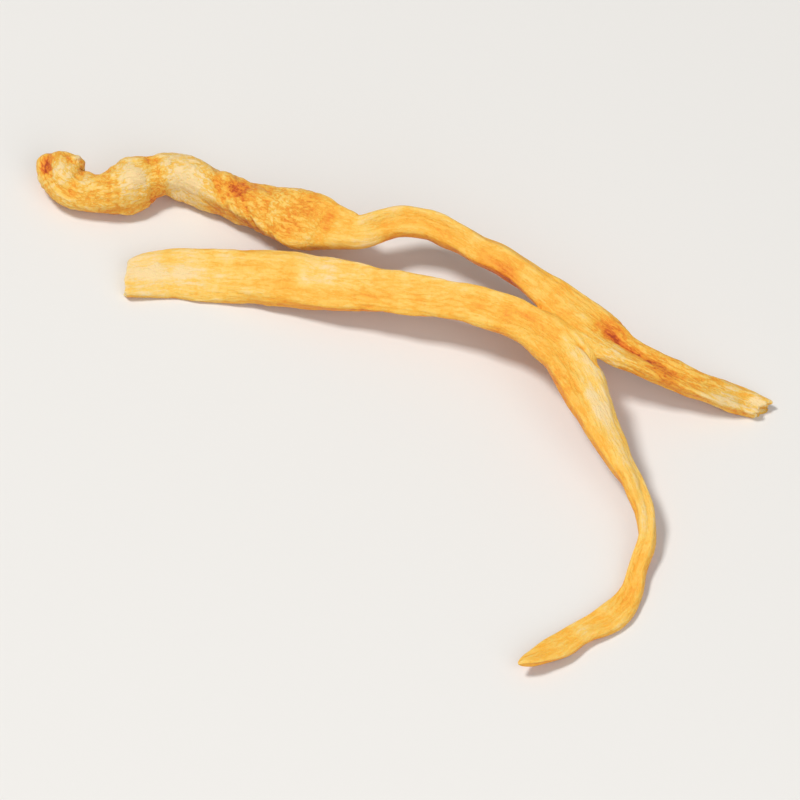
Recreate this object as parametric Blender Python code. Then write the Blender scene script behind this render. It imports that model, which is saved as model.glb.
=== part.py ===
"""A dried cordyceps fruit body, forked, lying on a table.

Two flattened limbs grew side by side and fused where they meet. One runs from the pale base stalk
through the fork into a long branch with a hooked tip. The other runs from a lumpy club head through
the fork into a short branch with a torn end. The body is parted at the fork into its four limbs:
stem (with the web of fused flesh), club_branch, long_branch and short_branch.
Sizes below are in millimetres and become metres as the meshes are made.
"""

import math

import bmesh
import bpy
from mathutils import Matrix, Vector

MM = 0.001

# Driving dimensions
SIDES = 20  # facets around a limb
STEP = 1.0  # length of a facet along a limb
HEAD_STEP = 0.7  # the same on the lumpy club branch
PARTING_GAP = 0.3  # between two limbs at the fork
STEM_LENGTH = 51.8  # base to the fork's far side, along the limb
CLUB_LENGTH = 54.4  # club tip to the fork's near side, along its limb
SHORT_START = 69.4  # where the short branch leaves the fork, along the club's limb
WEB_MIDDLE = (17.1, 6.3, 6.1)
WEB_HALF_SIZE = (4.4, 2.5, 0.95)
WEB_TURN = -42.0
GROOVE = 0.2  # deepest hollow of a flattened limb's faces, as a share of its half thickness
GROOVE_REACH = 0.42  # how far the hollow spreads to each side, as a share of the half width
FLATNESS = 0.64  # exponent that squares the section of a flat limb; 1 is an ellipse
CUT_ROUNDING = 0.6  # length over which a cut or torn end rounds off
TIP_ROUNDING = 1.6  # length over which a grown tip rounds off
KNOB_ROUNDING = 1.1  # the same at the blunt tip of the club head
ROUNDING_RINGS = (0.15, 0.45)  # places of the extra rings in a rounding, as shares of its length
FOLD_SPREAD = 1.5  # how far around the head a fold runs to each side, in radians
SLANT_FROM = 52.0  # side of the head, in degrees, on which a slanted fold is at its own distance
BASE_SLANT = -0.25  # how far the cut of the base leans, as a slope
TORN_SLANT = -0.45

# Route of a limb's middle: x, y, height, width, thickness, and the roll of its face in degrees.
# From the base stalk through the fork to the hooked tip:
STEM_LIMB = (
    (-28.0, 17.4, 0.8, 4, 1.9, 6),
    (-23.6, 18.1, 0.85, 5.4, 1.9, 12),
    (-19.0, 17.6, 1.3, 5.65, 2, 18),
    (-13.8, 16.6, 2.3, 5.6, 2, 22),
    (-8.2, 14.8, 3.3, 5.5, 1.9, 26),
    (-4.2, 13.6, 4, 4.75, 1.85, 29),
    (-0.2, 12.5, 4.6, 4.3, 1.8, 30),
    (3.8, 11.4, 5.1, 3.9, 1.8, 29),
    (6.8, 10.55, 5.5, 3.85, 1.8, 26),
    (9.8, 9.2, 5.8, 3.95, 1.8, 22),
    (13.2, 7.4, 6, 4.35, 1.9, 15),
    (16.2, 4.4, 6.1, 4.95, 1.95, 8),
    (18.0, 1.0, 6, 4.9, 1.9, 0),
    (19.3, -2.4, 5.6, 4.45, 1.8, -6),
    (20.7, -5.7, 5, 3.5, 1.75, -8),
    (22.2, -8.7, 4.2, 2.6, 1.7, -6),
    (23.8, -11.7, 3.3, 2.2, 1.65, 0),
    (24.7, -14.6, 2.4, 1.95, 1.6, 6),
    (24.7, -17.3, 1.7, 1.8, 1.4, 10),
    (23.7, -20.4, 1, 1.85, 1.3, 8),
    (23.1, -23.0, 0.6, 2.4, 1.3, 4),
    (21.3, -25.6, 0.5, 2.95, 1.4, 0),
    (18.6, -27.5, 0.6, 2.6, 1.3, 0),
    (16.0, -29.7, 0.9, 2.65, 1.2, 0),
    (13.8, -31.2, 1.3, 1.85, 1, 0),
    (11.8, -32.5, 1.8, 0.8, 0.7, 0),
)
# From the club head's tip through the fork to the torn end:
CLUB_LIMB = (
    (-34.7, 32.4, 2.3, 4, 3.6, 0),
    (-34.8, 31.1, 2.15, 4.4, 4.1, 0),
    (-34.5, 29.8, 2, 4.5, 4.2, 0),
    (-33.7, 28.6, 1.9, 4.4, 4.1, 0),
    (-32.0, 28.0, 1.85, 4.2, 4, 0),
    (-30.0, 27.9, 1.95, 4.5, 4.2, 0),
    (-28.0, 28.4, 2.1, 5.2, 4.6, 0),
    (-26.1, 29.2, 2.1, 5, 4.5, 0),
    (-24.0, 29.8, 2.05, 4.6, 4.3, 0),
    (-21.8, 29.4, 2.05, 4.4, 4.2, 0),
    (-19.6, 28.1, 2.2, 4.3, 4, 4),
    (-17.4, 26.8, 2.6, 4.2, 3.8, 8),
    (-15.0, 25.3, 3, 4.5, 3.7, 12),
    (-12.4, 23.9, 3.3, 5.5, 3.7, 16),
    (-10.0, 22.7, 3.7, 6.1, 3.6, 20),
    (-7.8, 21.8, 4.1, 5.5, 3.3, 22),
    (-5.7, 20.9, 4.5, 4.3, 2.8, 26),
    (-4.0, 20.3, 4.8, 3.4, 2.5, 28),
    (-1.8, 21.0, 5.1, 3.1, 2.1, 32),
    (0.6, 21.3, 5.4, 3.2, 2.05, 32),
    (3.2, 20.6, 5.7, 3, 2, 30),
    (5.8, 18.8, 6, 2.9, 1.9, 27),
    (8.2, 16.9, 6.2, 2.9, 1.9, 24),
    (10.7, 15.2, 6.4, 2.9, 1.9, 19),
    (12.95, 13.15, 6.5, 3.1, 1.9, 15),
    (15.15, 11.05, 6.5, 3.6, 1.9, 11),
    (17.4, 8.7, 6.4, 4.55, 1.9, 7),
    (19.8, 6.5, 6.2, 5.25, 1.9, 2),
    (22.2, 4.8, 5.7, 4.95, 1.9, -2),
    (24.8, 3.6, 4.9, 3.9, 1.85, 0),
    (27.4, 2.7, 3.9, 3.1, 1.8, 4),
    (30.0, 2.0, 2.9, 3.05, 1.8, 6),
    (32.6, 1.7, 1.75, 3.05, 1.75, 5),
    (34.8, 1.4, 0.75, 2.85, 1.7, 0),
    (36.8, 0.6, 0.6, 2.4, 1.6, 0),
)

# Lumps and pits of the club head: distance from its tip, place around it in degrees (0 is its front,
# 90 its upper face, 180 its back), reach and height. A pit's height is negative.
HEAD_LUMPS = (
    (1.6, 5, 1.2, 0.1),
    (1.8, 136, 0.9, 0.5),
    (2.4, 92, 1.2, 0.25),
    (3.4, 20, 1.3, 0.25),
    (3.5, 148, 0.7, -0.3),
    (6.2, 260, 1.5, 0.35),
    (7.2, 135, 1.1, -0.4),
    (8.6, 50, 1.8, 0.25),
    (9.8, 320, 1.5, 0.35),
    (10.8, 112, 1.6, 0.4),
    (13.7, 325, 1.4, -0.55),
    (15.2, 110, 2.4, 0.45),
    (16.6, 240, 1.7, 0.4),
    (18.6, 55, 2.5, 0.25),
    (21.0, 128, 1.2, 0.5),
    (22.5, 280, 1.6, 0.35),
    (22.9, 96, 1.1, -0.45),
    (25.9, 50, 2.0, 0.3),
    (28.1, 118, 1.8, 0.35),
    (28.1, 230, 1.5, 0.35),
    (29.2, 28, 1.8, 0.35),
    (31.4, 96, 1.4, 0.3),
)
# Folds across the head: distance from its tip, slant along the head, the side that it is deepest on
# in degrees, depth and half width.
HEAD_FOLDS = (
    (4.5, 0.4, 80, 0.3, 0.5),
    (12.6, 0.3, 75, 0.25, 0.6),
    (21.8, -2.2, 60, 0.36, 0.6),
    (25.0, -2.2, 40, 0.22, 0.5),
    (27.6, -1.6, 60, 0.2, 0.6),
    (33.0, 0.8, 90, 0.3, 0.8),
)
# Shrinkage of a dried limb: wave length along it, height, phase and ridges around it.
DRYING_WAVES = (
    (7.3, 0.06, 0.4, 2),
    (3.9, 0.03, 2.1, 1),
    (46.0, 0.10, 1.2, 3),
    (31.0, 0.07, 0.3, 5),
)

PALE_BASE = (0.87, 0.66, 0.30, 1.0)
ORANGE = (0.84, 0.42, 0.07, 1.0)
GOLDEN = (0.88, 0.52, 0.12, 1.0)


def clear_scene():
    for thing in list(bpy.data.objects):
        bpy.data.objects.remove(thing, do_unlink=True)


def dried_flesh(name, colour):
    material = bpy.data.materials.new(name)
    material.use_nodes = True
    shader = material.node_tree.nodes["Principled BSDF"]
    shader.inputs["Base Color"].default_value = colour
    shader.inputs["Roughness"].default_value = 0.6
    shader.inputs["Metallic"].default_value = 0.0
    return material


def blended(route, turn):
    """The route's row at a turn: whole turns are its own rows, and a smooth curve joins them."""
    first = min(int(turn), len(route) - 2)
    part = turn - first
    before = route[max(first - 1, 0)]
    after = route[min(first + 2, len(route) - 1)]
    row = []
    for a, b, c, d in zip(before, route[first], route[first + 1], after):
        bend = 2 * a - 5 * b + 4 * c - d
        twist = 3 * (b - c) + d - a
        row.append(b + 0.5 * part * ((c - a) + part * (bend + part * twist)))
    return row


def measured(route, fineness=40):
    """Pairs of distance along the route and turn, closely spaced."""
    pairs = [(0.0, 0.0)]
    last = Vector(route[0][:3])
    for step in range(1, (len(route) - 1) * fineness + 1):
        turn = step / fineness
        here = Vector(blended(route, turn)[:3])
        pairs.append((pairs[-1][0] + (here - last).length, turn))
        last = here
    return pairs


def turn_at(pairs, distance):
    for (near, low), (far, high) in zip(pairs, pairs[1:]):
        if distance <= far:
            return low + (high - low) * (distance - near) / (far - near)
    return pairs[-1][1]


def stops(start, end, step, start_rounding, end_rounding):
    """Distances of a limb's rings: even, and closer together where an end rounds off."""
    count = max(2, round((end - start) / step))
    even = [start + (end - start) * i / count for i in range(count + 1)]
    closer = [start + start_rounding * share for share in ROUNDING_RINGS if start_rounding]
    closer += [end - end_rounding * share for share in ROUNDING_RINGS if end_rounding]
    return sorted(even + closer)


def rounding(distance, length, least):
    """Share of full size at a distance from an end that rounds off over a length."""
    if not length or distance >= length:
        return 1.0
    round_off = math.sqrt(1 - (1 - distance / length) ** 2)
    return least + (1 - least) * round_off


def away_from(angle, degrees):
    """Angle between a place around the limb and a direction, as radians from -pi to pi."""
    return (angle - math.radians(degrees) + math.pi) % math.tau - math.pi


def relief(distance, angle, radius, lumps, folds):
    """How far the skin stands out from the plain section, in millimetres."""
    out = 0.0
    for length, height, phase, ridges in DRYING_WAVES:
        out += height * math.sin(math.tau * distance / length + phase + ridges * angle)
    for place, around, reach, height in lumps:
        away = (distance - place) ** 2 + (away_from(angle, around) * radius) ** 2
        out += height * math.exp(-away / reach**2)
    for place, slant, facing, depth, half_width in folds:
        crossed = place + slant * math.sin(away_from(angle, SLANT_FROM))
        beside = (distance - crossed) / half_width
        around = away_from(angle, facing) / FOLD_SPREAD
        out -= depth * math.exp(-(beside**2) - around**2)
    return out


def section_point(angle, width, thickness):
    """Sideways and upward place on a limb's section: round when thick, squared and hollow when flat."""
    flat = 1 - min(thickness / width, 1.0)
    power = 1 - (1 - FLATNESS) * min(1.0, 2.5 * flat)
    across = math.cos(angle)
    upward = math.sin(angle)
    hollow = 1 - GROOVE * min(1.0, 2 * flat) * math.exp(-((across / GROOVE_REACH) ** 2))
    side = 0.5 * width * math.copysign(abs(across) ** power, across)
    up = 0.5 * thickness * math.copysign(abs(upward) ** power, upward) * hollow
    return side, up


def ring_places(route, pairs, distance, scale, slant, lumps, folds):
    """Places of the points of one ring around the limb. The skin below the table's level is flat on it."""
    turn = turn_at(pairs, distance)
    nearby = 0.02
    last_turn = len(route) - 1
    ahead = Vector(blended(route, min(turn + nearby, last_turn))[:3])
    behind = Vector(blended(route, max(turn - nearby, 0.0))[:3])
    forward = (ahead - behind).normalized()
    x, y, height, width, thickness, roll = blended(route, turn)
    sideways = forward.cross(Vector((0, 0, 1))).normalized()
    upward = sideways.cross(forward)
    rolled = Matrix.Rotation(math.radians(roll), 3, forward)
    sideways = rolled @ sideways
    upward = rolled @ upward
    middle = Vector((x, y, height))
    places = []
    for i in range(SIDES):
        angle = math.tau * i / SIDES
        side, up = section_point(angle, width, thickness)
        radius = math.hypot(side, up)
        out = 1 + relief(distance, angle, radius, lumps, folds) / radius
        side *= out * scale
        up *= out * scale
        place = middle + sideways * side + upward * up + forward * slant * side
        place.z = max(place.z, 0.0)
        places.append(place * MM)
    return places


def limb(
    route, start, end, step=STEP, ends=(0.0, 0.0), least=(1.0, 1.0), slants=(0.0, 0.0), lumps=(), folds=()
):
    """A closed mesh of the stretch of a limb from start to end, extruded ring by ring.

    The lean of a cut end fades within a millimetre or two of it.
    """
    pairs = measured(route)
    mesh = bmesh.new()
    ring = bmesh.ops.create_circle(mesh, cap_ends=True, segments=SIDES, radius=MM)["verts"]
    for number, distance in enumerate(stops(start, end, step, *ends)):
        scale = rounding(distance - start, ends[0], least[0])
        scale *= rounding(end - distance, ends[1], least[1])
        lean = slants[0] * math.exp(-(distance - start)) + slants[1] * math.exp(distance - end)
        if number:
            cap = next(face for face in mesh.faces if set(face.verts) == set(ring))
            made = bmesh.ops.extrude_face_region(mesh, geom=[cap])
            grown = {corner for corner in made["geom"] if isinstance(corner, bmesh.types.BMVert)}
            if number > 1:
                bmesh.ops.delete(mesh, geom=[cap], context="FACES_ONLY")
            ring = [
                next(edge.other_vert(old) for edge in old.link_edges if edge.other_vert(old) in grown)
                for old in ring
            ]
        places = ring_places(route, pairs, distance, scale, lean, lumps, folds)
        for corner, place in zip(ring, places):
            corner.co = place
    bmesh.ops.recalc_face_normals(mesh, faces=mesh.faces)
    return mesh


def web_of_flesh():
    """The low pad of flesh that fills the fork between the two limbs."""
    mesh = bmesh.new()
    bmesh.ops.create_icosphere(mesh, subdivisions=3, radius=MM)
    bmesh.ops.scale(mesh, vec=WEB_HALF_SIZE, verts=mesh.verts)
    turned = Matrix.Rotation(math.radians(WEB_TURN), 3, "Z")
    bmesh.ops.rotate(mesh, cent=(0, 0, 0), matrix=turned, verts=mesh.verts)
    bmesh.ops.translate(mesh, vec=Vector(WEB_MIDDLE) * MM, verts=mesh.verts)
    return mesh


def as_object(mesh, name, material=None):
    data = bpy.data.meshes.new(name)
    mesh.to_mesh(data)
    mesh.free()
    thing = bpy.data.objects.new(name, data)
    bpy.context.scene.collection.objects.link(thing)
    if material:
        data.materials.append(material)
        data.shade_smooth()
        data.set_sharp_from_angle(angle=math.radians(50))
    return thing


def fuse(thing, helper):
    """Joins a helper's solid to the thing."""
    helper.hide_render = True
    helper.display_type = "WIRE"
    join = thing.modifiers.new("grown_to_" + helper.name, "BOOLEAN")
    join.operation = "UNION"
    join.object = helper


def build():
    clear_scene()
    whole_stem = measured(STEM_LIMB)[-1][0]
    whole_club = measured(CLUB_LIMB)[-1][0]
    stem = as_object(
        limb(STEM_LIMB, 0.0, STEM_LENGTH, ends=(CUT_ROUNDING, 0.0), least=(0.8, 1.0),
             slants=(BASE_SLANT, 0.0)),
        "stem",
        dried_flesh("pale_flesh", PALE_BASE),
    )
    crossing = limb(CLUB_LIMB, CLUB_LENGTH + PARTING_GAP, SHORT_START - PARTING_GAP)
    fuse(stem, as_object(crossing, "crossing_limb"))
    fuse(stem, as_object(web_of_flesh(), "web"))
    as_object(
        limb(CLUB_LIMB, 0.0, CLUB_LENGTH, step=HEAD_STEP, ends=(KNOB_ROUNDING, 0.0), least=(0.3, 1.0),
             lumps=HEAD_LUMPS, folds=HEAD_FOLDS),
        "club_branch",
        dried_flesh("golden_flesh", GOLDEN),
    )
    as_object(
        limb(STEM_LIMB, STEM_LENGTH + PARTING_GAP, whole_stem, ends=(0.0, TIP_ROUNDING), least=(1.0, 0.35)),
        "long_branch",
        dried_flesh("orange_flesh", ORANGE),
    )
    as_object(
        limb(CLUB_LIMB, SHORT_START, whole_club, ends=(0.0, CUT_ROUNDING), least=(1.0, 0.7),
             slants=(0.0, TORN_SLANT)),
        "short_branch",
        dried_flesh("branch_flesh", ORANGE),
    )


build()
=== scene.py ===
# %% [markdown]
# # A dried cordyceps fruit body
#
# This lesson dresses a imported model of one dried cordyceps: an orange club fungus, shrivelled by
# drying, that grew as two flat limbs fused side by side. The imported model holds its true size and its
# four limbs as plain solids. Here the same limbs are grown again as one fine skin, with the furrows,
# lumps and colours of dried flesh, and then lit and photographed.
#
# Everything is modelled in millimetres, because 0.3 is easier to read than 0.0003. The finished skin
# is then scaled to metres.

import math

import bmesh
import bpy
import numpy as np
from mathutils import Matrix, Vector, kdtree, noise


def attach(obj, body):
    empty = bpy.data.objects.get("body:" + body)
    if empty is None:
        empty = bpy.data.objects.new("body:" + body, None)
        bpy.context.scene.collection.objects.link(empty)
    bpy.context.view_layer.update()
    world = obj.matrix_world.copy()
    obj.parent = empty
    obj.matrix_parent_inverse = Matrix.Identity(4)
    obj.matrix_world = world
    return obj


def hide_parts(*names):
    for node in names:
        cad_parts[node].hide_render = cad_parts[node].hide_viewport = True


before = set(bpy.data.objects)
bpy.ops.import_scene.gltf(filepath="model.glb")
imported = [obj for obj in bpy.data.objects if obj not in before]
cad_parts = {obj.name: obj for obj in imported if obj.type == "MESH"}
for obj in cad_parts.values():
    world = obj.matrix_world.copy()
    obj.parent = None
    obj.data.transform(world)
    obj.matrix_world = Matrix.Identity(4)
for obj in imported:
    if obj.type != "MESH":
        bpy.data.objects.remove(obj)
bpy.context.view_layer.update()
MM = 0.001
print("limbs in the packed model:", sorted(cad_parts))

# %% [markdown]
# ## The two routes
#
# A limb of flesh is easiest to describe by its middle line. Each row below is one station on that
# line: its place (x, y and height above the table), how wide and how thick the flesh is there, and
# how far its flat face is rolled over. They are the stations that the imported model was built on, so
# the skin ends up where the solids are. A table of given stations is the right tool here, because a
# grown thing follows no formula.

# %% Stations of the limb from the base stalk to the hooked tip
STEM_LIMB = (  # millimetres, and degrees for the roll
    (-28.0, 17.4, 0.8, 4, 1.9, 6),
    (-23.6, 18.1, 0.85, 5.4, 1.9, 12),
    (-19.0, 17.6, 1.3, 5.65, 2, 18),
    (-13.8, 16.6, 2.3, 5.6, 2, 22),
    (-8.2, 14.8, 3.3, 5.5, 1.9, 26),
    (-4.2, 13.6, 4, 4.75, 1.85, 29),
    (-0.2, 12.5, 4.6, 4.3, 1.8, 30),
    (3.8, 11.4, 5.1, 3.9, 1.8, 29),
    (6.8, 10.55, 5.5, 3.85, 1.8, 26),
    (9.8, 9.2, 5.8, 3.95, 1.8, 22),
    (13.2, 7.4, 6, 4.35, 1.9, 15),
    (16.2, 4.4, 6.1, 4.95, 1.95, 8),
    (18.0, 1.0, 6, 4.9, 1.9, 0),
    (19.3, -2.4, 5.6, 4.45, 1.8, -6),
    (20.7, -5.7, 5, 3.5, 1.75, -8),
    (22.2, -8.7, 4.2, 2.6, 1.7, -6),
    (23.8, -11.7, 3.3, 2.2, 1.65, 0),
    (24.7, -14.6, 2.4, 1.95, 1.6, 6),
    (24.7, -17.3, 1.7, 1.8, 1.4, 10),
    (23.7, -20.4, 1, 1.85, 1.3, 8),
    (23.1, -23.0, 0.6, 2.4, 1.3, 4),
    (21.3, -25.6, 0.5, 2.95, 1.4, 0),
    (18.6, -27.5, 0.6, 2.6, 1.3, 0),
    (16.0, -29.7, 0.9, 2.65, 1.2, 0),
    (13.8, -31.2, 1.3, 1.85, 1, 0),
    (11.8, -32.5, 1.8, 0.8, 0.7, 0),
)
print(f"stem limb: {len(STEM_LIMB)} stations, up to {max(row[3] for row in STEM_LIMB)} mm wide")

# %% [markdown]
# The other limb starts at the knob of the club head. Its first stations lie close together, because
# the head hooks over, swells and narrows within a few millimetres. It has dried less flat than the
# stalk, so the thickness there comes close to the width.

# %% Stations of the limb from the club head to the torn end
CLUB_LIMB = (
    (-34.7, 32.4, 2.3, 4, 3.6, 0),
    (-34.8, 31.1, 2.15, 4.4, 4.1, 0),
    (-34.5, 29.8, 2, 4.5, 4.2, 0),
    (-33.7, 28.6, 1.9, 4.4, 4.1, 0),
    (-32.0, 28.0, 1.85, 4.2, 4, 0),
    (-30.0, 27.9, 1.95, 4.5, 4.2, 0),
    (-28.0, 28.4, 2.1, 5.2, 4.6, 0),
    (-26.1, 29.2, 2.1, 5, 4.5, 0),
    (-24.0, 29.8, 2.05, 4.6, 4.3, 0),
    (-21.8, 29.4, 2.05, 4.4, 4.2, 0),
    (-19.6, 28.1, 2.2, 4.3, 4, 4),
    (-17.4, 26.8, 2.6, 4.2, 3.8, 8),
    (-15.0, 25.3, 3, 4.5, 3.7, 12),
    (-12.4, 23.9, 3.3, 5.5, 3.7, 16),
    (-10.0, 22.7, 3.7, 6.1, 3.6, 20),
    (-7.8, 21.8, 4.1, 5.5, 3.3, 22),
    (-5.7, 20.9, 4.5, 4.3, 2.8, 26),
    (-4.0, 20.3, 4.8, 3.4, 2.5, 28),
    (-1.8, 21.0, 5.1, 3.1, 2.1, 32),
    (0.6, 21.3, 5.4, 3.2, 2.05, 32),
    (3.2, 20.6, 5.7, 3, 2, 30),
    (5.8, 18.8, 6, 2.9, 1.9, 27),
    (8.2, 16.9, 6.2, 2.9, 1.9, 24),
    (10.7, 15.2, 6.4, 2.9, 1.9, 19),
    (12.95, 13.15, 6.5, 3.1, 1.9, 15),
    (15.15, 11.05, 6.5, 3.6, 1.9, 11),
    (17.4, 8.7, 6.4, 4.55, 1.9, 7),
    (19.8, 6.5, 6.2, 5.25, 1.9, 2),
    (22.2, 4.8, 5.7, 4.95, 1.9, -2),
    (24.8, 3.6, 4.9, 3.9, 1.85, 0),
    (27.4, 2.7, 3.9, 3.1, 1.8, 4),
    (30.0, 2.0, 2.9, 3.05, 1.8, 6),
    (32.6, 1.7, 1.75, 3.05, 1.75, 5),
    (34.8, 1.4, 0.75, 2.85, 1.7, 0),
    (36.8, 0.6, 0.6, 2.4, 1.6, 0),
)
print(f"club limb: {len(CLUB_LIMB)} stations, up to {max(row[3] for row in CLUB_LIMB)} mm wide")

# %% [markdown]
# ## A smooth line through the stations
#
# Straight runs between stations would look like bent wire. A Catmull-Rom curve passes through every
# station and turns evenly between them. It is sampled finely, so that every quantity can be looked up
# by its distance along the limb.
# At each sample a frame of three directions says which way is forward along the limb, sideways across
# its flat face, and up out of that face.

# %% Sample a route and its frames
SAMPLES_PER_STATION = 40


def smooth_rows(route):
    """Rows of a Catmull-Rom curve through the route's stations, one row per sample."""
    rows = np.array(route, float)
    padded = np.vstack([rows[:1], rows, rows[-1:]])
    turns = np.arange((len(rows) - 1) * SAMPLES_PER_STATION + 1) / SAMPLES_PER_STATION
    first = np.minimum(turns.astype(int), len(rows) - 2)
    part = (turns - first)[:, None]
    before, start, end, after = (padded[first + step] for step in range(4))
    bend = 2 * before - 5 * start + 4 * end - after
    twist = 3 * (start - end) + after - before
    return start + 0.5 * part * ((end - before) + part * (bend + part * twist))


def unit(vectors):
    """Each row scaled to a length of 1."""
    return vectors / np.linalg.norm(vectors, axis=1, keepdims=True)


def columns_at(distance, distances, table):
    """Every column of a table, read between its rows at each of these distances."""
    return np.stack([np.interp(distance, distances, column) for column in table.T], 1)


class Limb:
    """One limb of flesh: its middle line, its size and its frame at any distance along it."""

    def __init__(self, name, route):
        self.name = name
        self.rows = smooth_rows(route)
        steps = np.linalg.norm(np.diff(self.rows[:, :3], axis=0), axis=1)
        self.distances = np.concatenate([[0.0], np.cumsum(steps)])
        self.length = self.distances[-1]
        forward = unit(np.gradient(self.rows[:, :3], self.distances, axis=0))
        sideways = unit(np.cross(forward, (0.0, 0.0, 1.0)))
        upward = np.cross(sideways, forward)
        roll = np.radians(self.rows[:, 5:6])
        self.frames = np.hstack([
            forward,
            np.cos(roll) * sideways - np.sin(roll) * upward,
            np.cos(roll) * upward + np.sin(roll) * sideways,
        ])

    def at(self, distance):
        """Middle, width, thickness, forward, sideways and upward at each of these distances."""
        row = columns_at(distance, self.distances, self.rows)
        frame_row = columns_at(distance, self.distances, self.frames)
        ways = [unit(frame_row[:, 3 * way:3 * way + 3]) for way in range(3)]
        return row[:, :3], row[:, 3], row[:, 4], *ways


stem_limb = Limb("stem limb", STEM_LIMB)
club_limb = Limb("club limb", CLUB_LIMB)
for limb in (stem_limb, club_limb):
    print(f"{limb.name}: {limb.length:.1f} mm long")

# %% [markdown]
# ## The section of a limb
#
# Cut through a fresh limb and it is round; dried, it has collapsed to a strap with thick rolled
# edges and a hollow down the middle of each face. One formula covers both. A superellipse squares
# the round section as it gets flatter, and a soft dent presses the faces in. The angle runs around
# the section: 0 is the edge that faces forward in the photograph, 90 degrees is the upper face.

# %% Section of the flesh at an angle
FLATNESS = 0.64  # power of the superellipse of a flat strap; 1 would be an ellipse
SQUARING = 2.5  # how soon a section squares as it flattens
GROOVE = 0.2  # share of the thickness that the groove takes
GROOVING = 2.0  # how soon the groove deepens as the section flattens
GROOVE_REACH = 0.42


def section(angle, width, thickness):
    """Sideways and upward place of the skin at an angle around the section."""
    flat = 1 - np.minimum(thickness / width, 1.0)
    power = 1 - (1 - FLATNESS) * np.minimum(1.0, SQUARING * flat)
    across = np.cos(angle)
    upward = np.sin(angle)
    dent = GROOVE * np.minimum(1.0, GROOVING * flat) * np.exp(-((across / GROOVE_REACH) ** 2))
    side = 0.5 * width * np.sign(across) * np.abs(across) ** power
    up = 0.5 * thickness * np.sign(upward) * np.abs(upward) ** power * (1 - dent)
    return side, up


_, strap_up = section(np.radians([0.0, 90.0]), 5.5, 1.9)
print(f"a strap 5.5 mm wide and 1.9 mm thick is {2 * strap_up[1]:.2f} mm thick in its groove")

# %% [markdown]
# ## Lumps, pits and folds of the club head
#
# The head swelled as it ripened and shrank as it dried, so it is a string of lumps and folds. Each lump
# is a soft hill on the skin, given by where it sits along and around the head, how far it reaches and
# how high it stands. A negative height makes a pit. A fold crosses the head at a slant, is deepest on
# the side that it faces, and fades out on the other. Long slow waves, as of drying flesh, run over
# both limbs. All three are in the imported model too, so the same numbers are used here.

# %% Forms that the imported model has
HEAD_LUMPS = (  # distance, angle around, reach, height
    (1.6, 5, 1.2, 0.1), (1.8, 136, 0.9, 0.5), (2.4, 92, 1.2, 0.25), (3.4, 20, 1.3, 0.25),
    (3.5, 148, 0.7, -0.3), (6.2, 260, 1.5, 0.35), (7.2, 135, 1.1, -0.4), (8.6, 50, 1.8, 0.25),
    (9.8, 320, 1.5, 0.35), (10.8, 112, 1.6, 0.4), (13.7, 325, 1.4, -0.55), (15.2, 110, 2.4, 0.45),
    (16.6, 240, 1.7, 0.4), (18.6, 55, 2.5, 0.25), (21.0, 128, 1.2, 0.5), (22.5, 280, 1.6, 0.35),
    (22.9, 96, 1.1, -0.45), (25.9, 50, 2.0, 0.3), (28.1, 118, 1.8, 0.35), (28.1, 230, 1.5, 0.35),
    (29.2, 28, 1.8, 0.35), (31.4, 96, 1.4, 0.3),
)
HEAD_FOLDS = (  # distance, slant, angle faced, depth, half width
    (4.5, 0.4, 80, 0.3, 0.5), (12.6, 0.3, 75, 0.25, 0.6), (21.8, -2.2, 60, 0.36, 0.6),
    (25.0, -2.2, 40, 0.22, 0.5), (27.6, -1.6, 60, 0.2, 0.6), (33.0, 0.8, 90, 0.3, 0.8),
)
DRYING_WAVES = (  # length, height, phase, ridges around
    (7.3, 0.06, 0.4, 2), (3.9, 0.03, 2.1, 1), (46.0, 0.10, 1.2, 3), (31.0, 0.07, 0.3, 5),
)
FOLD_SPREAD = 1.5  # how far around the head a fold runs to each side, in radians
SEEN_FROM = math.radians(52)  # the way that the head's slanted folds are turned


def away_from(angle, degrees):
    """Angle in radians between a place around the limb and a direction, from -pi to pi."""
    return (angle - math.radians(degrees) + math.pi) % math.tau - math.pi


def relief(distance, angle, radius, lumps=(), folds=()):
    """How far the skin stands out of the plain section, in millimetres."""
    out = np.zeros_like(radius)
    for wave, height, phase, ridges in DRYING_WAVES:
        out += height * np.sin(math.tau * distance / wave + phase + ridges * angle)
    for place, around, reach, height in lumps:
        gap = (distance - place) ** 2 + (away_from(angle, around) * radius) ** 2
        out += height * np.exp(-gap / reach**2)
    for place, slant, facing, depth, half_width in folds:
        crease = (distance - place - slant * np.sin(angle - SEEN_FROM)) / half_width
        out -= depth * np.exp(-(crease**2) - (away_from(angle, facing) / FOLD_SPREAD) ** 2)
    return out


print(f"{len(HEAD_LUMPS)} lumps and pits, {len(HEAD_FOLDS)} folds, {len(DRYING_WAVES)} drying waves")

# %% [markdown]
# ## Rolling a sheet into a limb
#
# A limb could be extruded ring by ring, but with hundreds of rings it is quicker to roll it from one
# flat grid. One side of the grid runs along the limb and the other runs around it. Each corner of
# the grid is moved to its place on the skin, the two long edges that meet are merged, and the small
# hole left at each end is closed.
#
# The ends are rows of the same grid. At a grown tip the rings shrink as a dome does. At a cut, the rim
# rounds over and further rings shrink across the cut face, dished inwards, because the pith inside
# dries down more than the rind.

# %% Rings of the ends
TIP_REACH = 1.6
KNOB_REACH = 1.1
RIM = 0.3
PITH_DISH = 0.45
SMALLEST_RING = 0.04  # share of full size
TIP_RINGS = 14
FACE_RINGS = 12
RIM_RINGS = 6


def tip_rows(reach):
    """(distance from the end, share of full size, dish) of the rings of a domed tip, smallest first."""
    turns = np.linspace(SMALLEST_RING, 0.95, TIP_RINGS) * math.pi / 2
    return [(reach * (1 - math.cos(turn)), math.sin(turn), 0.0) for turn in turns]


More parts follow.
